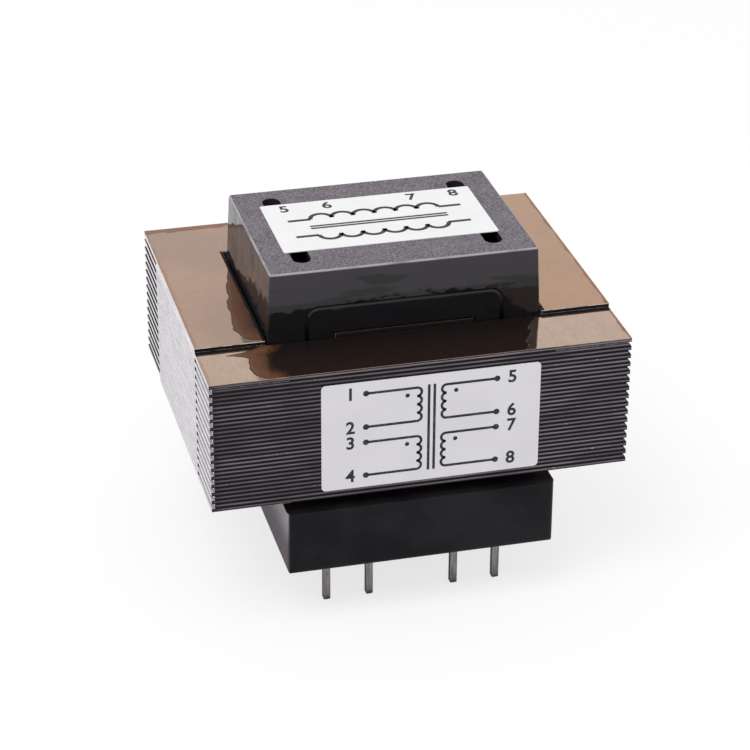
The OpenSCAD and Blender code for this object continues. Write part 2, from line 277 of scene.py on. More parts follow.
@dataclass(frozen=True)
class SteelSheet:
    """Annealed silicon steel under a thin amber varnish, with darker sheared edges."""

    name: str
    stack_floor: float
    stack_pitch: float
    stack_top: float
    reach_x: float
    back_y: float
    joint_y: float
    window_x: float
    window_back: float
    face: Colour = (0.41, 0.265, 0.19)
    amber: Colour = (0.45, 0.26, 0.15)
    blotch: Colour = (0.35, 0.235, 0.175)
    bar_face: Colour = (0.49, 0.355, 0.27)
    rim: Colour = (0.22, 0.085, 0.035)
    # painted highlight: a near-white colour for the rounded rims of the outermost plies
    rim_highlight_colour: Colour = (0.84, 0.76, 0.70)
    edge_light: Colour = (0.20, 0.172, 0.20)
    edge_dark: Colour = (0.008, 0.006, 0.008)
    side_light: Colour = (0.82, 0.79, 0.83)
    side_dark: Colour = (0.42, 0.40, 0.43)
    upper_plies: float = 2.1
    ledge_width: float = 0.6
    cover_x: float = 18.0
    face_metal: float = 0.94
    side_metal: float = 0.9
    face_roughness: tuple[float, float] = (0.05, 0.1)
    edge_roughness: float = 0.42
    shade_strip_roughness: float = 0.6
    # widths of the painted shade strips beside the windows and below the joint
    window_strip: tuple[float, float] = (0.36, 0.46)
    joint_strip: tuple[float, float] = (0.75, 0.85)

    def make(self) -> bpy.types.Material:
        """Builds the material.

        Returns:
            The material.
        """
        shade = Shader(self.name)
        steep = shade.size(shade.normal_z)
        blend = 0.1 * self.stack_pitch
        upper = self.stack_top - self.upper_plies * self.stack_pitch
        outermost = shade.math(
            "MAXIMUM",
            shade.step(shade.z, upper - blend, upper),
            shade.step(shade.z, self.stack_floor + 0.05, self.stack_floor + 0.1, 1.0, 0.0),
        )
        flat = shade.product(shade.step(steep, 0.8, 0.95), outermost)
        sideways = shade.step(shade.size(shade.normal_x), 0.8, 0.95)
        # painted light: the front left ledges take the sides' light colour over the shade of their recesses
        bare = shade.math("MAXIMUM", sideways, self.painted_ledge_light(shade))
        colour = shade.mix(bare, self.edge_colour(shade), self.side_colour(shade))
        # painted highlight on the rounded rims of the outermost plies, in patches
        colour = shade.mix(self.painted_rim_highlight(shade, steep, outermost), colour, self.rim_highlight_colour)
        colour = shade.mix(flat, colour, self.face_colour(shade))
        # painted shade: near-black strips beside the windows and below the front joint
        painted_shade_strip = shade.product(flat, self.painted_shade_strip(shade))
        colour = shade.mix(painted_shade_strip, colour, self.edge_dark)
        flat_outside_shade_strips = shade.product(flat, shade.math("SUBTRACT", 1.0, painted_shade_strip))
        metal = shade.math(
            "MAXIMUM", shade.product(flat_outside_shade_strips, self.face_metal), shade.product(sideways, self.side_metal)
        )
        grain = shade.noise(2.0, 4.0, (1.0, 0.35, 1.0))
        gloss = shade.product(flat, shade.step(grain, 0.3, 0.7, *self.face_roughness))
        gloss = shade.math("ADD", gloss, shade.product(painted_shade_strip, self.shade_strip_roughness))
        waves = shade.bump(shade.noise(0.16, 1.0), 0.08)
        return shade.finish(
            base_color=colour,
            metallic=metal,
            roughness=shade.math("ADD", shade.step(flat, 0.0, 1.0, self.edge_roughness, 0.0), gloss),
            specular_ior_level=0.12,
            coat_weight=shade.product(flat_outside_shade_strips, 0.3),
            coat_roughness=0.06,
            normal=shade.bump(grain, 0.0015, 0.5, waves),
        )

    def painted_ledge_light(self, shade: Shader) -> Socket:
        """Marks the ledges of the shorter plies at the front left corner, which get the sides' light colour as
        painted light over the shade in their recesses.

        Args:
            shade: the material that is being built.

        Returns:
            1 on the ledges, 0 elsewhere.
        """
        inner_x = self.ledge_width - self.reach_x
        left = shade.step(shade.x, inner_x - 0.1, inner_x, 1.0, 0.0)
        not_ahead = shade.step(shade.size(shade.normal_y), 0.4, 0.6, 1.0, 0.0)
        front = shade.step(shade.y, self.joint_y - self.ledge_width, self.joint_y, 1.0, 0.0)
        return shade.product(left, not_ahead, front)

    def painted_rim_highlight(self, shade: Shader, steep: Socket, outermost: Socket) -> Socket:
        """Marks the rounded rim of the outermost plies, where a painted highlight is laid in patches.

        Args:
            shade: the material that is being built.
            steep: how far the surface faces up or down.
            outermost: 1 on the outermost plies.

        Returns:
            1 where the painted highlight lies, 0 elsewhere.
        """
        patchy = shade.step(shade.noise(0.9, 3.0), 0.38, 0.55, 0.4, 1.0)
        fade = shade.step(shade.y, -20.0, -16.0, 0.45, 1.0)
        rounded = shade.product(shade.step(steep, 0.25, 0.45), shade.step(steep, 0.88, 0.95, 1.0, 0.0))
        outside = shade.step(shade.size(shade.x), self.cover_x - 0.2, self.cover_x + 0.2)
        return shade.product(rounded, outermost, patchy, fade, outside)

    def painted_shade_strip(self, shade: Shader) -> Socket:
        """Marks the strips of painted shade along both windows, beside the cover, and below the front joint,
        which widen the dark of the window gaps and of the step at the joint.

        Args:
            shade: the material that is being built.

        Returns:
            1 on the strips, 0 elsewhere.
        """
        beside = shade.size(shade.math("SUBTRACT", shade.size(shade.x), self.window_x))
        back = shade.step(shade.y, self.window_back, self.window_back + 0.2, 1.0, 0.0)
        front = shade.step(shade.y, self.joint_y - 0.1, self.joint_y)
        window = shade.product(shade.step(beside, *self.window_strip, 1.0, 0.0), back, front)
        below = shade.math("SUBTRACT", self.joint_y, shade.y)
        joint = shade.product(
            shade.step(below, -0.01, 0.0), shade.step(below, *self.joint_strip, 1.0, 0.0)
        )
        return shade.math("MAXIMUM", window, joint)

    def phase(self, shade: Shader) -> Socket:
        """Measures how far a point is from the middle of its ply.

        Args:
            shade: the material that is being built.

        Returns:
            The distance in plies, from 0 at the middle to a half between two plies.
        """
        layer = shade.math("DIVIDE", shade.math("SUBTRACT", shade.z, self.stack_floor), self.stack_pitch)
        return shade.math("ABSOLUTE", shade.math("SUBTRACT", shade.math("FRACT", layer), 0.5))

    def edge_colour(self, shade: Shader) -> Socket:
        """Colours the sheared ends: a dull band on each ply between dark lines, smeared with varnish, with
        painted shade that darkens the leg ends at the front joint to near black.

        Args:
            shade: the material that is being built.

        Returns:
            The colour.
        """
        wander = shade.product(shade.noise(0.7, 2.0, (0.25, 0.25, 3.0)), 0.2)
        band = shade.step(shade.math("ADD", self.phase(shade), wander), 0.16, 0.38, 1.0, 0.0)
        smear = shade.step(shade.noise(0.12, 4.0, (1.0, 1.0, 2.5)), 0.36, 0.6, 0.62, 1.0)
        by_ply = shade.step(shade.noise(1.0, 0.0, (0.004, 0.004, 0.9)), 0.3, 0.7, 0.6, 1.15)
        corner = shade.step(shade.math("ADD", shade.x, shade.noise(0.4, 2.0)), -28.3, -26.4, 0.3, 1.0)
        across = shade.step(shade.x, -24.0, 26.0, 0.78, 1.12)
        from_joint = shade.size(shade.math("SUBTRACT", shade.y, self.joint_y))
        # painted shade: the leg ends facing the front joint are darkened to near black
        joint_riser_shade = shade.step(from_joint, 0.3, 0.6, 0.06, 1.0)
        amount = shade.product(band, smear, by_ply, corner, across, joint_riser_shade)
        edge = shade.mix(amount, self.edge_dark, self.edge_light)
        specks = shade.step(shade.noise(1.9, 1.0, (0.7, 0.7, 2.0)), 0.74, 0.82, 0.0, 0.5)
        return shade.mix(shade.product(specks, band), edge, self.side_light)

    def side_colour(self, shade: Shader) -> Socket:
        """Colours the cut sides of the plies: nearly bare, with a fine line between two plies.

        Args:
            shade: the material that is being built.

        Returns:
            The colour.
        """
        line = shade.step(self.phase(shade), 0.38, 0.48, 1.0, 0.0)
        cloud = shade.step(shade.noise(0.9, 4.0, (1.0, 0.3, 2.0)), 0.3, 0.6, 0.6, 1.0)
        return shade.mix(shade.product(line, cloud), self.side_dark, self.side_light)

    def face_colour(self, shade: Shader) -> Socket:
        """Colours the flat of a sheet: grain along the legs, soft blotches and a brown rim of varnish.

        Args:
            shade: the material that is being built.

        Returns:
            The colour.
        """
        blotches = shade.step(shade.noise(0.09, 3.0), 0.35, 0.65)
        grain = shade.noise(3.0, 3.0, (1.0, 0.3, 1.0))
        mottle = shade.step(shade.noise(0.55, 4.0, (1.0, 0.7, 1.0)), 0.35, 0.7, 0.0, 0.3)
        face = shade.mix(blotches, self.face, self.blotch)
        face = shade.mix(shade.step(shade.x, -20.0, 24.0, 0.0, 0.85), face, self.amber)
        face = shade.mix(shade.step(shade.y, self.joint_y - 0.1, self.joint_y, 1.0, 0.0), face, self.bar_face)
        face = shade.mix(shade.step(grain, 0.3, 0.75, 0.0, 0.16), face, self.rim)
        face = shade.mix(mottle, face, self.blotch)
        ripple = shade.noise(0.35, 3.0)
        inset = shade.math("SUBTRACT", self.reach_x, shade.size(shade.x))
        back = shade.math("SUBTRACT", self.back_y, shade.y)
        near_side = shade.step(shade.math("ADD", inset, ripple), 0.72, 1.05, 0.95, 0.0)
        near_side = shade.product(near_side, shade.step(shade.x, -1.0, 1.0, 0.4, 1.0))
        lift = shade.step(shade.x, -20.0, -8.0, 0.0, 1.4)
        near_back = shade.math("ADD", back, shade.math("ADD", shade.product(ripple, 2.6), lift))
        band = shade.step(near_back, 2.5, 2.75, 1.0, 0.0)
        return shade.mix(shade.math("MAXIMUM", near_side, band), face, self.rim)


@dataclass(frozen=True)
class DriedVarnish:
    """Amber varnish that dried in a pool: a dark outline, a brown rim and a deeper middle."""

    name: str
    outline: Colour = (0.030, 0.011, 0.006)
    brown: Colour = (0.125, 0.052, 0.024)
    deep: Colour = (0.015, 0.009, 0.007)
    front_brown: float = 0.0
    rim_depth: tuple[float, float] = (0.08, 0.26)
    brown_depth: tuple[float, float] = (0.8, 3.4)
    front_reach: tuple[float, float] = (-21.0, -13.0)

    def make(self) -> bpy.types.Material:
        """Builds the material.

        Returns:
            The material.
        """
        shade = Shader(self.name)
        depth = shade.add("ShaderNodeAttribute", attribute_name="depth").outputs["Fac"]
        strands = shade.noise(1.5, 5.0, (1.6, 0.5, 1.0))
        wet = shade.math("ADD", depth, shade.product(shade.math("SUBTRACT", strands, 0.5), 1.6))
        colour = shade.mix(shade.step(wet, *self.brown_depth), self.brown, self.deep)
        ragged_y = shade.math("ADD", shade.y, shade.product(strands, 3.0))
        frontward = shade.step(ragged_y, *self.front_reach, 1.0, 0.0)
        colour = shade.mix(shade.product(frontward, self.front_brown), colour, self.brown)
        colour = shade.mix(shade.step(depth, *self.rim_depth, 0.85, 0.0), colour, self.outline)
        waves = shade.bump(shade.noise(0.3, 2.0), 0.08)
        return shade.finish(
            base_color=colour,
            roughness=shade.step(strands, 0.3, 0.7, 0.04, 0.1),
            specular_ior_level=0.08,
            normal=waves,
        )


@dataclass(frozen=True)
class VarnishedNylon:
    """Black moulded nylon: satin and speckled where it faces up, glossy with varnish on its walls. The
    up-facing top gets a lighter speckled grey as painted sheen, the upper walls a lighter streaky band that is
    partly varnish and partly painted reflection, and the rounded top edges a painted highlight.
    """

    name: str
    body: Colour = (0.010, 0.009, 0.0105)
    # painted sheen: the lighter speckled greys of the up-facing top, partly its real grain
    top_sheen_dark: Colour = (0.07, 0.058, 0.072)
    top_sheen_light: Colour = (0.22, 0.188, 0.225)
    # painted highlight colour for the rounded top edges
    rim: Colour = (0.36, 0.34, 0.36)
    # lighter tone of the upper walls' band: partly varnish streaks, partly painted reflection
    haze: Colour = (0.028, 0.024, 0.031)
    wall_gloss: float = 0.06
    top_z: float = 0.0
    reflection_band_depth: float = 4.3

    def make(self) -> bpy.types.Material:
        """Builds the material.

        Returns:
            The material.
        """
        shade = Shader(self.name)
        up = shade.step(shade.normal_z, 0.55, 0.9)
        grain = shade.noise(3.4, 3.0)
        fleck = shade.step(grain, 0.35, 0.7)
        cloud = shade.noise(0.25, 3.0)
        # painted sheen: up-facing faces get a lighter speckled grey than the walls
        crown = shade.mix(fleck, self.top_sheen_dark, self.top_sheen_light)
        # partly varnish streaks, partly painted reflection: a lighter streaky band on the upper walls, down to
        # reflection_band_depth below the top
        film = shade.step(shade.noise(0.5, 2.0, (0.22, 0.3, 1.1)), 0.36, 0.46)
        upper = shade.step(shade.z, self.top_z - self.reflection_band_depth - 0.5, self.top_z - self.reflection_band_depth)
        wall = shade.mix(shade.product(film, upper), self.body, self.haze)
        # painted highlight: a light grey on the rounded top edges near the top, in patches
        worn = shade.product(
            shade.step(shade.normal_z, 0.15, 0.45), shade.step(shade.normal_z, 0.86, 0.97, 1.0, 0.0)
        )
        high = shade.step(shade.z, self.top_z - 0.6, self.top_z - 0.3)
        rim = shade.product(worn, high, shade.step(cloud, 0.3, 0.6, 0.4, 1.0))
        rough_crown = shade.step(cloud, 0.3, 0.7, 0.36, 0.5)
        rough = shade.math("ADD", shade.product(up, rough_crown), self.wall_gloss)
        ripples = shade.bump(shade.noise(0.8, 3.0), 0.03, 0.8)
        waves = shade.bump(shade.noise(0.22, 2.0), 0.25, 0.8, ripples)
        texture = shade.bump(shade.product(up, grain), 0.02, 0.7, waves)
        return shade.finish(
            base_color=shade.mix(rim, shade.mix(up, wall, crown), self.rim),
            roughness=rough,
            specular_ior_level=0.34,
            normal=texture,
        )


@dataclass(frozen=True)
class SatinNylon:
    """Black moulded nylon as it leaves the mould, with a fine even texture; its side walls are painted a
    lighter grey, lightest at the top, as painted reflection.
    """

    name: str
    body: Colour = (0.006, 0.0052, 0.0068)
    haze: Colour = (0.014, 0.0125, 0.0155)
    # painted reflection: lighter greys for the side walls, lighter towards the top
    side: Colour = (0.085, 0.070, 0.085)
    side_sheen_top: Colour = (0.31, 0.275, 0.305)
    top_z: float = 9.44
    gate: Triple = (-15.9, 7.0, 0.28)
    roughness: float = 0.38
    gloss: float = 0.1

    def make(self) -> bpy.types.Material:
        """Builds the material.

        Returns:
            The material.
        """
        shade = Shader(self.name)
        cloud = shade.step(shade.noise(0.11, 3.0), 0.35, 0.65)
        texture = shade.noise(5.0, 3.0)
        waves = shade.bump(shade.noise(0.2, 1.0), 0.06, 0.5)
        sideways = shade.step(shade.size(shade.normal_x), 0.6, 0.95)
        # painted reflection: the side walls are lighter than the front, most at the top
        side = shade.mix(shade.step(shade.z, self.top_z - 6.0, self.top_z), self.side, self.side_sheen_top)
        gate_x, gate_z, gate_radius = self.gate
        squares = [
            shade.math("POWER", shade.math("SUBTRACT", along, middle), 2.0)
            for along, middle in ((shade.x, gate_x), (shade.z, gate_z))
        ]
        gate = shade.step(shade.math("ADD", *squares), gate_radius ** 2 * 0.3, gate_radius ** 2)
        waves = shade.bump(shade.math("MAXIMUM", gate, shade.step(shade.y, -2.0, -1.0)), 0.12, 1.0, waves)
        return shade.finish(
            base_color=shade.mix(sideways, shade.mix(cloud, self.body, self.haze), side),
            roughness=shade.step(texture, 0.3, 0.7, self.roughness, self.roughness + 0.12),
            specular_ior_level=self.gloss,
            normal=shade.bump(texture, 0.012, 0.6, waves),
        )


@dataclass(frozen=True)
class TinnedPin:
    """Hot-tinned brass: bright grey with drawn streaks, darker towards the tip."""

    name: str
    tip_z: float
    bright: Colour = (0.34, 0.31, 0.32)
    dull: Colour = (0.07, 0.06, 0.065)

    def make(self) -> bpy.types.Material:
        """Builds the material.

        Returns:
            The material.
        """
        shade = Shader(self.name)
        streak = shade.noise(3.0, 3.0, (1.0, 1.0, 0.12))
        tone = shade.step(streak, 0.3, 0.7, 0.0, 0.5)
        tip = shade.step(shade.z, self.tip_z, self.tip_z + 1.2, 0.9, 0.0)
        return shade.finish(
            base_color=shade.mix(shade.math("MAXIMUM", tone, tip), self.bright, self.dull),
            metallic=0.9,
            roughness=shade.step(streak, 0.3, 0.7, 0.24, 0.42),
            normal=shade.bump(streak, 0.01, 0.7),
        )


@dataclass(frozen=True)
class EnamelledCopper:
    """Copper wire under clear amber enamel."""

    name: str
    bright: Colour = (0.62, 0.27, 0.10)
    dark: Colour = (0.36, 0.13, 0.045)

    def make(self) -> bpy.types.Material:
        """Builds the material.

        Returns:
            The material.
        """
        shade = Shader(self.name)
        tone = shade.step(shade.noise(0.8, 3.0, (1.0, 0.4, 1.0)), 0.3, 0.7)
        return shade.finish(
            base_color=shade.mix(tone, self.bright, self.dark),
            metallic=0.85,
            roughness=0.28,
            coat_weight=0.6,
            coat_roughness=0.08,
            normal=shade.bump(shade.noise(2.0, 2.0), 0.01, 0.5),
        )


@dataclass(frozen=True)
class WindingTape:
    """Dark polyester tape with a faint weave of overlaps."""

    name: str
    body: Colour = (0.05, 0.042, 0.032)
    seam: Colour = (0.09, 0.075, 0.05)

    def make(self) -> bpy.types.Material:
        """Builds the material.

        Returns:
            The material.
        """
        shade = Shader(self.name)
        crease = shade.noise(0.5, 3.0, (1.0, 0.3, 1.0))
        return shade.finish(
            base_color=shade.mix(shade.step(crease, 0.45, 0.7), self.body, self.seam),
            roughness=0.3,
            specular_ior_level=0.4,
            normal=shade.bump(crease, 0.05, 0.7),
        )


@dataclass(frozen=True)
class LabelFilm:
    """Printed film, with a faint tooth and slightly uneven tone."""

    name: str
    body: Colour
    shadow: Colour
    roughness: float = 0.42

    def make(self) -> bpy.types.Material:
        """Builds the material.

        Returns:
            The material.
        """
        shade = Shader(self.name)
        cloud = shade.step(shade.noise(0.15, 3.0), 0.3, 0.7)
        tooth = shade.noise(5.0, 2.0)
        return shade.finish(
            base_color=shade.mix(shade.product(cloud, 0.5), self.body, self.shadow),
            roughness=shade.step(tooth, 0.3, 0.7, self.roughness, self.roughness + 0.12),
            specular_ior_level=0.4,
            normal=shade.bump(tooth, 0.006, 0.5),
        )


@dataclass(frozen=True)
class Ink:
    """Black printing ink, a little worn."""

    name: str
    body: Colour = (0.018, 0.017, 0.018)
    worn: Colour = (0.07, 0.068, 0.07)

    def make(self) -> bpy.types.Material:
        """Builds the material.

        Returns:
            The material.
        """
        shade = Shader(self.name)
        wear = shade.step(shade.noise(1.8, 4.0), 0.5, 0.75)
        return shade.finish(
            base_color=shade.mix(wear, self.body, self.worn),
            roughness=0.5,
            specular_ior_level=0.3,
        )


def dress(node: str, finish: bpy.types.Material) -> bpy.types.Object:
    """Gives a solid of the part its finish.

    Args:
        node: the solid's name.
        finish: the material.

    Returns:
        The solid's object.
    """
    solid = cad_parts[node]
    solid.data.materials.clear()
    solid.data.materials.append(finish)
    return solid


def soften(solid: bpy.types.Object, radius: float, segments: int = 2) -> None:
    """Rounds a solid's sharp edges a little.

    Args:
        solid: the solid's object.
        radius: the radius, in millimetres.
        segments: how many faces the rounding has across it.
    """
    weld = solid.modifiers.new("joined", "WELD")
    weld.merge_threshold = 1e-6
    bevel = solid.modifiers.new("softened", "BEVEL")
    bevel.width = radius * MM
    bevel.segments = segments
    bevel.limit_method = "ANGLE"
    bevel.angle_limit = math.radians(40)
    bevel.use_clamp_overlap = True


def grid_faces(rows: int, columns: int) -> list[tuple[int, int, int, int]]:
    """Lists the faces of a grid of points that are numbered row by row.

    Args:
        rows: how many rows of faces.
        columns: how many faces in a row.

    Returns:
        The corners of each face.
    """
    wide = columns + 1
    starts = [row * wide + column for row in range(rows) for column in range(columns)]
    return [(start, start + 1, start + wide + 1, start + wide) for start in starts]


def thicken(
    name: str, data: bpy.types.Mesh, finish: bpy.types.Material, thickness: float, offset: float
) -> bpy.types.Object:
    """Makes a piece from a mesh that is one sheet, and gives it its thickness.

    Args:
        name: the piece's name.
        data: the sheet.
        finish: the material.
        thickness: the thickness, in millimetres.
        offset: 1 to thicken it outwards, -1 inwards.

    Returns:
        The piece.
    """
    data.materials.append(finish)
    piece = bpy.data.objects.new(name, data)
    bpy.context.scene.collection.objects.link(piece)
    body = piece.modifiers.new("body", "SOLIDIFY")
    body.thickness = thickness * MM
    body.offset = offset
    return piece


@dataclass
class Core:
    """The interleaved stack of E plies and separate bars."""

    plies: int = 32
    edge_radius: float = 0.07
    window_x: float = 19.05
    window_back: float = 15.04

    def build(self) -> None:
        """Dresses each ply and the two groups of bars."""
        low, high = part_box(self.ply(1))
        pitch = (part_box(self.ply(2))[0].z - low.z) / MM
        size = {"stack_floor": low.z / MM, "stack_pitch": pitch, "reach_x": high.x / MM,
                "stack_top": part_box(self.ply(self.plies))[1].z / MM,
                "back_y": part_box(self.ply(2))[1].y / MM, "joint_y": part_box(self.ply(2))[0].y / MM,
                "window_x": self.window_x, "window_back": self.window_back}
        sheet = SteelSheet("core_steel", **size).make()
        bars = SteelSheet("bar_steel", side_metal=0.5, **size).make()
        for index in range(1, self.plies + 1):
            soften(dress(self.ply(index), sheet), self.edge_radius)
        for group in ("i_bars_front", "i_bars_back"):
            soften(dress(group, bars), self.edge_radius)
        LOG.info("core: %d plies and two groups of bars", self.plies)

    @staticmethod
    def ply(index: int) -> str:
        """Names a ply, counted from the bottom."""
        return f"e_lamination_{index:02d}"


@dataclass
class VarnishPool:
    """A thin pool of varnish, drawn from its wavy outer edge to the edge across from it.

    The points are in millimetres in plan, and both edges run the same way.
    """

    name: str
    outer: tuple[Point, ...]
    inner: tuple[Point, ...]
    surface: float
    free_ends: tuple[bool, bool] = (True, True)
    free_inner: bool = False
    thickness: float = 0.018
    edge_height: float = 0.003
    dome_width: float = 0.6
    skin: float = 0.02
    rows: int = 96
    columns: int = 28
    wobble: float = 0.14

    def build(self, finish: bpy.types.Material) -> bpy.types.Object:
        """Builds the pool as one thin domed mesh that rides on the part.

        Args:
            finish: the varnish.

        Returns:
            The piece.
        """
        outer = self.smooth(self.outer, self.wobble)
        inner = self.smooth(self.inner, self.wobble * 0.4)
        grid = [[out.lerp(end, column / self.columns) for column in range(self.columns + 1)]
                for out, end in zip(outer, inner)]
        far = [point.to_3d() for point in inner] if self.free_inner else []
        rim = list(outer)
        rim += grid[0] if self.free_ends[0] else []
        rim += grid[-1] if self.free_ends[1] else []
        tree = kdtree.KDTree(len(rim))
        for index, point in enumerate(rim):
            tree.insert(point.to_3d(), index)
        tree.balance()
        depths = [tree.find(point.to_3d())[2] for row in grid for point in row]
        corners = []
        for point, depth in zip((point for row in grid for point in row), depths):
            thin = min([depth] + [(point.to_3d() - end).length for end in far[::4]])
            rise = self.edge_height + self.thickness * (1 - math.exp(-thin / self.dome_width))
            corners.append((point.x * MM, point.y * MM, self.surface + rise * MM))
        faces = grid_faces(self.rows, self.columns)
        data = bpy.data.meshes.new(self.name)
        data.from_pydata(corners, [], faces)
        data.attributes.new("depth", "FLOAT", "POINT").data.foreach_set("value", depths)
        data.polygons.foreach_set("use_smooth", [True] * len(faces))
        data.update()
        if data.polygons[0].normal.z < 0:
            data.flip_normals()
        piece = thicken(self.name, data, finish, self.skin, -1.0)
        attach(piece, "root")
        LOG.info("varnish: %s", self.name)
        return piece

    def smooth(self, points: tuple[Point, ...], wobble: float) -> list[Vector]:
        """Runs a smooth line with small ripples through some points.

        Args:
            points: the points.
            wobble: how far the ripples reach.

        Returns:
            One point for each row.
        """
        line = []
        last = len(points) - 1
        for row in range(self.rows + 1):
            at = row / self.rows * last
            leg = min(int(at), last - 1)
            t = at - leg
            p0, p1, p2, p3 = (Vector(points[min(max(leg + k, 0), last)]) for k in (-1, 0, 1, 2))
            spot = 0.5 * (2 * p1 + (p2 - p0) * t + (2 * p0 - 5 * p1 + 4 * p2 - p3) * t ** 2
                          + (3 * p1 - p0 - 3 * p2 + p3) * t ** 3)
            calm = min(1.0, 6 * row / self.rows, 6 * (1 - row / self.rows))
            ripple = noise.noise(Vector((spot.x * 0.8, spot.y * 0.8, last))) * wobble * 2 * calm
            line.append(spot + Vector((ripple, 0.0)))
        return line


@dataclass
class Varnish:
    """The varnish that ran out beside the cover: one pool on a leg, and one along the front bar that is partly
    real varnish and partly a painted reflection of the cover.
    """

    window: float = -19.46
    bar_columns: int = 90

    def build(self) -> None:
        """Builds both pools."""
        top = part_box("e_lamination_32")[1].z
        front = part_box("e_lamination_31")[1].z
        amber = DriedVarnish("varnish_leg", deep=(0.042, 0.017, 0.010)).make()
        VarnishPool(
            "varnish_on_leg",
            (
                (-19.5, 9.2), (-20.1, 6.6), (-20.9, 3.6), (-21.15, 0.8), (-21.95, -2.2), (-21.75, -4.6),
                (-22.25, -7.0), (-22.4, -9.2), (-21.9, -11.2), (-21.0, -12.6), (-19.7, -13.0),
            ),
            tuple((self.window, y) for y in (9.2, 1.8, -5.6, -13.0)),
            top,
        ).build(amber)
        # partly varnish, partly painted reflection: the bar pool's near-black middle and straight right edge
        # follow the cover's mirror image, a little browner towards the front
        VarnishPool(
            "varnish_on_bar",
            (
                (-20.2, -13.7), (-21.4, -14.5), (-22.9, -15.0), (-24.8, -15.35), (-23.2, -15.9),
                (-22.3, -16.6), (-22.1, -17.9), (-22.4, -19.6), (-22.0, -21.5), (-20.7, -22.95),
            ),
            (
                (17.9, -13.7), (17.3, -15.3), (16.2, -17.0), (16.1, -18.7),
                (15.0, -20.4), (14.9, -21.8), (14.1, -22.95),
            ),
            front,
            free_ends=(False, False),
            free_inner=True,
            columns=self.bar_columns,
        ).build(DriedVarnish("varnish_bar", deep=(0.012, 0.0085, 0.008), front_brown=0.06).make())


@dataclass
class Coil:
    """The former with its two windings, their tape and their leads."""

    sections: tuple[str, str] = ("primary", "secondary")

    def build(self) -> None:
        """Dresses the former and both sections of the coil."""
        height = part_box("top_cover")[1].z / MM
        dress("coil_former", VarnishedNylon("former_plastic", top_z=height).make())
        copper = EnamelledCopper("copper_wire").make()
        tape = WindingTape("tape").make()
        for section in self.sections:
            for layer in ("inner", "outer", "leads"):
                dress(f"{section}_{layer}", copper)
            for layer in ("tape", "wrap"):
                dress(f"{section}_{layer}", tape)
        LOG.info("coil: former and %d sections", len(self.sections))


@dataclass
class ArchSeal:
    """The bead of varnish that fills the groove between the cover's arch and the former's collar."""

    half_width: float = 13.4
    rise: float = 3.9
    radius: float = 1.6
    groove: float = 0.62
    set_back: float = 0.02
    sag: float = 0.09
    skin: float = 0.2

    def path(self, foot: float, core: float) -> list[tuple[Vector, Vector]]:
        """Runs along the middle of the groove, from the left foot over the arch to the right one.

        Args:
            foot: the height of the two feet, in millimetres.
            core: the height of the core's top, in millimetres.

        Returns:
            Each point in X and Z with the direction out of the arch there.
        """
        steps = 10
        crown = core + self.rise - self.radius
        line = [(Vector((-self.half_width, foot)), Vector((-1.0, 0.0)))]
        for side in (-1, 1):
            for step in range(steps + 1):
                turn = math.pi / 2 * (step / steps if side < 0 else 1 - step / steps)
                out = Vector((side * math.cos(turn), math.sin(turn)))
                centre = Vector((side * (self.half_width - self.radius), crown))
                line.append((centre + out * self.radius, out))
        line.append((Vector((self.half_width, foot)), Vector((1.0, 0.0))))
        return line

    def build(self, name: str, side: int, finish: bpy.types.Material) -> None:
        """Builds the bead at one end of the cover.

        Args:
            name: the piece's name.
            side: -1 for the front, 1 for the back.
            finish: the varnish.
        """
        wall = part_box("top_cover")[0 if side < 0 else 1].y / MM
        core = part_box("e_lamination_32")[1].z / MM
        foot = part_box("e_lamination_31")[1].z / MM if side < 0 else core
        profile = [(offset / 4 - 1, 1 - (offset / 4 - 1) ** 2) for offset in range(9)]
        corners = [
            (
                point.x + out.x * across * self.groove / 2,
                wall - side * (self.set_back + self.sag * dip),
                point.y + out.y * across * self.groove / 2,
            )
            for point, out in self.path(foot, core)
            for across, dip in profile
        ]
        faces = grid_faces(len(corners) // len(profile) - 1, len(profile) - 1)
        data = bpy.data.meshes.new(name)
        data.from_pydata([tuple(value * MM for value in corner) for corner in corners], [], faces)
        data.polygons.foreach_set("use_smooth", [True] * len(faces))
        data.update()
        if data.polygons[0].normal.y * side < 0:
            data.flip_normals()
        piece = thicken(name, data, finish, self.skin, -1.0)
        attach(piece, "root")
        LOG.info("seal: %s", name)


@dataclass
class Enclosure:
    """The moulded cover over the coil and the pin housing under it."""

    def build(self) -> None:
        """Dresses the two mouldings and seals the arches."""
        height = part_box("top_cover")[1].z / MM
        seal = VarnishedNylon("arch_varnish", wall_gloss=0.16, top_z=height).make()
        ArchSeal().build("arch_seal_front", -1, seal)
        ArchSeal().build("arch_seal_back", 1, seal)
        dress("top_cover", VarnishedNylon("cover_plastic", top_z=height).make())
        housing = SatinNylon("housing_plastic", top_z=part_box("pin_housing")[1].z / MM).make()
        dress("pin_housing", housing)
        LOG.info("enclosure: cover and housing")


@dataclass
class Pins:
    """The eight square pins, 1 to 4 in the front row and 5 to 8 in the back row."""

    count: int = 8

    def build(self) -> None:
        """Dresses the pins."""
        tin = TinnedPin("pin_tin", tip_z=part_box("pin_1")[0].z / MM).make()
        for index in range(1, self.count + 1):
            dress(f"pin_{index}", tin)
        LOG.info("pins: %d", self.count)


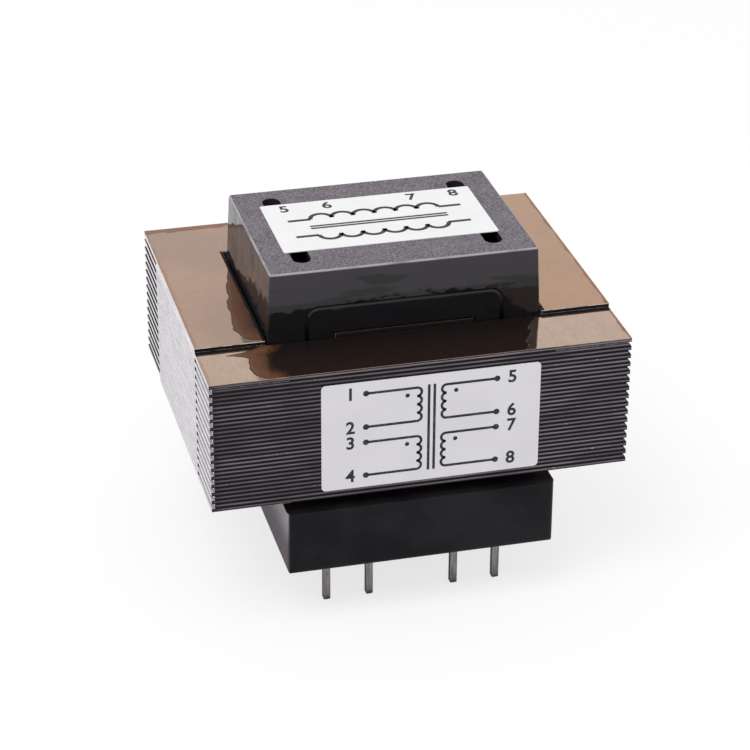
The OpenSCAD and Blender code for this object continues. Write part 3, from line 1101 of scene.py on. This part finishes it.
@dataclass
class Print:
    """Ink shapes on a label, drawn in millimetres from the label's middle."""

    name: str
    face: Face
    label: str
    height: float = 0.012
    mesh: bmesh.types.BMesh = field(default_factory=bmesh.new)

    def place(self, point: Point) -> Vector:
        """Finds a drawn point's place on the label.

        Args:
            point: the point, to the right and up as the label is read.

        Returns:
            The place on the label's surface, in metres.
        """
        low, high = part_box(self.label)
        middle = (low + high) / 2
        depth = self.height * MM
        if self.face is Face.TOP:
            return Vector((middle.x + point[0] * MM, middle.y + point[1] * MM, high.z - depth))
        return Vector((middle.x + point[0] * MM, low.y + depth, middle.z + point[1] * MM))

    def stroke(self, points: list[Point], width: float) -> None:
        """Draws a line of even width with mitred corners.

        Args:
            points: the points it runs through.
            width: its width.
        """
        left = []
        right = []
        for index, point in enumerate(points):
            before = Vector(points[max(index - 1, 0)])
            after = Vector(points[min(index + 1, len(points) - 1)])
            here = Vector(point)
            incoming = (here - before).normalized() if index else (after - here).normalized()
            outgoing = (after - here).normalized() if index < len(points) - 1 else incoming
            across = Vector((-(incoming + outgoing).y, (incoming + outgoing).x)).normalized()
            reach = width / 2 / max(across.dot(Vector((-incoming.y, incoming.x))), 0.5)
            left.append(here + across * reach)
            right.append(here - across * reach)
        rows = [[self.mesh.verts.new(self.place(tuple(p))) for p in line] for line in (left, right)]
        for index in range(len(points) - 1):
            self.mesh.faces.new((rows[0][index], rows[1][index], rows[1][index + 1], rows[0][index + 1]))

    @staticmethod
    def on_circle(middle: Point, radius: float, angle: float) -> Point:
        """Finds the point of a circle at an angle in radians."""
        return middle[0] + radius * math.cos(angle), middle[1] + radius * math.sin(angle)

    def arc(self, middle: Point, radius: float, start: float, end: float, width: float) -> None:
        """Draws part of a circle.

        Args:
            middle: the circle's middle.
            radius: its radius.
            start: the angle it starts at, in degrees.
            end: the angle it ends at, in degrees.
            width: the line's width.
        """
        steps = 20
        angles = [math.radians(start + (end - start) * step / steps) for step in range(steps + 1)]
        self.stroke([self.on_circle(middle, radius, angle) for angle in angles], width)

    def dot(self, middle: Point, radius: float) -> None:
        """Draws a filled dot.

        Args:
            middle: its middle.
            radius: its radius.
        """
        steps = 24
        rim = [self.on_circle(middle, radius, math.tau * step / steps) for step in range(steps)]
        self.mesh.faces.new([self.mesh.verts.new(self.place(p)) for p in rim])

    def number(self, text: str, middle: Point, size: float) -> None:
        """Draws a plain number.

        Args:
            text: the number.
            middle: the middle of the number.
            size: its height.
        """
        curve = bpy.data.curves.new("number", "FONT")
        curve.body = text
        curve.size = size * 1.4
        curve.align_x = "CENTER"
        curve.align_y = "CENTER"
        curve.offset = size * 0.035
        curve.resolution_u = 6
        carrier = bpy.data.objects.new("number", curve)
        shape = bpy.data.meshes.new_from_object(carrier)
        spots = [(middle[0] + vertex.co.x, middle[1] + vertex.co.y) for vertex in shape.vertices]
        corners = [self.mesh.verts.new(self.place(spot)) for spot in spots]
        for polygon in shape.polygons:
            self.mesh.faces.new([corners[index] for index in polygon.vertices])
        bpy.data.objects.remove(carrier)
        bpy.data.curves.remove(curve)
        bpy.data.meshes.remove(shape)

    def coil(self, start: Point, turns: int, radius: float, side: int, width: float) -> None:
        """Draws a winding's symbol: a column of half circles, from its lower end up.

        Args:
            start: the lower end.
            turns: how many half circles.
            radius: the radius of each.
            side: 1 to bulge to the right, -1 to the left.
            width: the line's width.
        """
        for turn in range(turns):
            middle = (start[0], start[1] + radius * (2 * turn + 1))
            self.arc(middle, radius, -90, -90 + side * 180, width)

    def finish(self, ink: bpy.types.Material, slot: str) -> bpy.types.Object:
        """Makes the print one piece that rides on the part, level with the label's solid.

        Args:
            ink: the ink's material.
            slot: not used.

        Returns:
            The piece.
        """
        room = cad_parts[self.label].modifiers.new("ink_room", "DISPLACE")
        room.direction = "Z" if self.face is Face.TOP else "Y"
        room.mid_level = 0.0
        room.strength = self.height * MM * (-1 if self.face is Face.TOP else 1)
        data = bpy.data.meshes.new(self.name)
        bmesh.ops.recalc_face_normals(self.mesh, faces=self.mesh.faces)
        outward = Vector((0, 0, 1)) if self.face is Face.TOP else Vector((0, -1, 0))
        for flat in self.mesh.faces:
            if flat.normal.dot(outward) < 0:
                flat.normal_flip()
        self.mesh.to_mesh(data)
        self.mesh.free()
        piece = thicken(self.name, data, ink, self.height, 1.0)
        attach(piece, "root")
        LOG.info("print: %s", self.name)
        return piece


@dataclass
class Labels:
    """The white label on the cover and the pale one on the front of the stack, with plain print."""

    line: float = 0.36
    digit: float = 2.1
    top_number_y: float = 5.9
    top_turns: int = 6
    top_radius: float = 1.5
    top_rows: tuple[tuple[float, int], ...] = ((1.9, -1), (-3.3, 1))
    top_tail: float = 1.35
    top_core: tuple[float, float] = (-0.35, -1.05)
    top_core_x: float = 9.6
    front_radius: float = 0.62
    front_turns: int = 4
    front_lows: tuple[float, float] = (1.15, -6.1)
    coil_x: float = 2.0
    lead_x: float = 8.6
    dot_x: float = 8.9
    dot_radius: float = 0.42
    start_dot: Triple = (3.3, 1.0, 0.3)
    number_x: float = 11.0
    front_core: tuple[float, float] = (-0.38, 0.38)
    front_core_y: float = 6.4

    def build(self) -> None:
        """Dresses both labels and prints them."""
        white = LabelFilm("label_white", (0.86, 0.86, 0.865), (0.80, 0.80, 0.81)).make()
        silver = LabelFilm("label_silver", (0.70, 0.685, 0.72), (0.64, 0.625, 0.66)).make()
        dress("top_label", white)
        dress("front_label", silver)
        ink = Ink("ink").make()
        self.print_top().finish(ink, "label_white")
        self.print_front().finish(ink, "label_silver")

    def print_top(self) -> Print:
        """Draws the top label: the back row's pin numbers over a plain winding symbol.

        Returns:
            The drawn print.
        """
        sheet = Print("top_print", Face.TOP, "top_label")
        label_x = sum(corner.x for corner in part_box("top_label")) / 2 / MM
        for index in range(5, 9):
            low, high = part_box(f"pin_{index}")
            spot = ((low.x + high.x) / 2 / MM - label_x, self.top_number_y)
            sheet.number(str(index), spot, self.digit * 0.95)
        reach = self.top_turns * self.top_radius
        for row, bulge in self.top_rows:
            for turn in range(self.top_turns):
                middle = (self.top_radius * (2 * turn + 1) - reach, row)
                sheet.arc(middle, self.top_radius, 0, bulge * -180, self.line * 1.7)
            for end in (-reach, reach):
                sheet.stroke([(end, row), (end * self.top_tail, row)], self.line * 1.7)
        for offset in self.top_core:
            sheet.stroke([(-self.top_core_x, offset), (self.top_core_x, offset)], self.line * 1.2)
        return sheet

    def print_front(self) -> Print:
        """Draws the front label: two windings each side of the core, with their pin numbers.

        Returns:
            The drawn print.
        """
        sheet = Print("front_print", Face.FRONT, "front_label")
        for side in (-1, 1):
            first = 1 if side < 0 else 5
            for pair, low in enumerate(self.front_lows):
                start = (side * self.coil_x, low)
                sheet.coil(start, self.front_turns, self.front_radius, -side, self.line)
                top = low + 2 * self.front_turns * self.front_radius
                numbers = (first + 2 * pair, first + 2 * pair + 1)
                for number, level in zip(numbers, (top, low)):
                    lead = [(side * self.coil_x, level), (side * self.lead_x, level)]
                    sheet.stroke(lead, self.line)
                    sheet.dot((side * self.dot_x, level), self.dot_radius)
                    sheet.number(str(number), (side * self.number_x, level), self.digit * 0.85)
                dot_x, below_top, radius = self.start_dot
                sheet.dot((side * dot_x, top - below_top), radius)
        for offset in self.front_core:
            sheet.stroke([(offset, -self.front_core_y), (offset, self.front_core_y)], self.line)
        return sheet


@dataclass
class Studio:
    """A plain pale floor, soft light from all round and the camera."""

    camera_at: Triple = (-82.48, -316.55, 188.27)
    swing: float = 14.303
    tilt: float = 27.390
    roll: float = 0.237
    lens: float = 126.75
    shift: Point = (0.0104, -0.0233)
    ambient: float = 0.74
    key_energy: float = 1.9
    key_at: Triple = (-260.0, -240.0, 620.0)
    key_size: float = 420.0
    floor_size: float = 8000.0
    floor_pale: float = 0.93
    floor_glow: float = 0.74
    floor_lift: float = 0.08

    def build(self) -> None:
        """Builds the floor, the light and the camera."""
        self.build_floor()
        self.build_world()
        self.build_lamp()
        self.build_camera()
        LOG.info("studio: floor, world, lamp and camera")

    def build_floor(self) -> None:
        """Lays a pale floor under the part's lowest point."""
        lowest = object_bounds()[0][2]
        half = self.floor_size * MM / 2
        data = bpy.data.meshes.new("floor")
        corners = [(-half, -half, lowest), (half, -half, lowest), (half, half, lowest), (-half, half, lowest)]
        data.from_pydata(corners, [], [(0, 1, 2, 3)])
        floor = bpy.data.objects.new("floor", data)
        bpy.context.scene.collection.objects.link(floor)
        shade = Shader("floor")
        path = shade.add("ShaderNodeLightPath")
        glow = shade.product(path.outputs["Is Camera Ray"], self.floor_glow)
        pale = (self.floor_pale,) * 3
        seen = (self.floor_pale - self.floor_glow + self.floor_lift,) * 3
        data.materials.append(shade.finish(
            base_color=shade.mix(path.outputs["Is Camera Ray"], pale, seen),
            roughness=0.9,
            specular_ior_level=0.0,
            emission_color=(1.0, 1.0, 1.0),
            emission_strength=glow,
        ))
        floor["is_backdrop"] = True

    def build_world(self) -> None:
        """Makes the surroundings white to the camera and in reflections, and a level light elsewhere."""
        world = bpy.data.worlds.new("studio")
        bpy.context.scene.world = world
        world.use_nodes = True
        nodes, links = world.node_tree.nodes, world.node_tree.links
        nodes.clear()
        path = nodes.new("ShaderNodeLightPath")
        seen = path.outputs["Is Camera Ray"]
        for name in ("Is Glossy Ray", "Is Transmission Ray"):
            either = nodes.new("ShaderNodeMath")
            either.operation = "MAXIMUM"
            links.new(seen, either.inputs[0])
            links.new(path.outputs[name], either.inputs[1])
            seen = either.outputs[0]
        mixer = nodes.new("ShaderNodeMixShader")
        links.new(seen, mixer.inputs[0])
        for index, strength in ((1, self.ambient), (2, 1.0)):
            background = nodes.new("ShaderNodeBackground")
            background.inputs["Color"].default_value = (1.0, 1.0, 1.0, 1.0)
            background.inputs["Strength"].default_value = strength
            links.new(background.outputs[0], mixer.inputs[index])
        output = nodes.new("ShaderNodeOutputWorld")
        links.new(mixer.outputs[0], output.inputs["Surface"])

    def build_lamp(self) -> None:
        """Hangs one large soft lamp above the part, to the left and towards the camera."""
        data = bpy.data.lights.new("key", "AREA")
        data.shape = "DISK"
        data.size = self.key_size * MM
        data.energy = self.key_energy
        lamp = bpy.data.objects.new("key", data)
        lamp.location = Vector(self.key_at) * MM
        lamp.rotation_euler = (-lamp.location).to_track_quat("-Z", "Y").to_euler()
        bpy.context.scene.collection.objects.link(lamp)

    def build_camera(self) -> None:
        """Sets the camera up."""
        data = bpy.data.cameras.new("camera")
        data.lens = self.lens
        data.shift_x, data.shift_y = self.shift
        data.clip_start = 0.01
        data.clip_end = 50.0
        swing, tilt = math.radians(self.swing), math.radians(self.tilt)
        ahead = Vector((math.sin(swing) * math.cos(tilt), math.cos(swing) * math.cos(tilt), -math.sin(tilt)))
        right = Vector((math.cos(swing), -math.sin(swing), 0.0))
        right = Matrix.Rotation(math.radians(self.roll), 3, -ahead) @ right
        above = right.cross(ahead)
        camera = bpy.data.objects.new("camera", data)
        turn = Matrix((right, above, -ahead)).transposed().to_4x4()
        camera.matrix_world = Matrix.Translation(Vector(self.camera_at) * MM) @ turn
        bpy.context.scene.collection.objects.link(camera)
        bpy.context.scene.camera = camera


def main() -> None:
    """Builds the looks in order."""
    logging.basicConfig(level=logging.INFO, format="%(name)s: %(message)s")
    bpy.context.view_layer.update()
    Studio().build()
    Core().build()
    Varnish().build()
    Coil().build()
    Enclosure().build()
    Pins().build()
    Labels().build()
    scene = bpy.context.scene
    scene.view_settings.view_transform = "Standard"


if __name__ == "__main__":
    main()
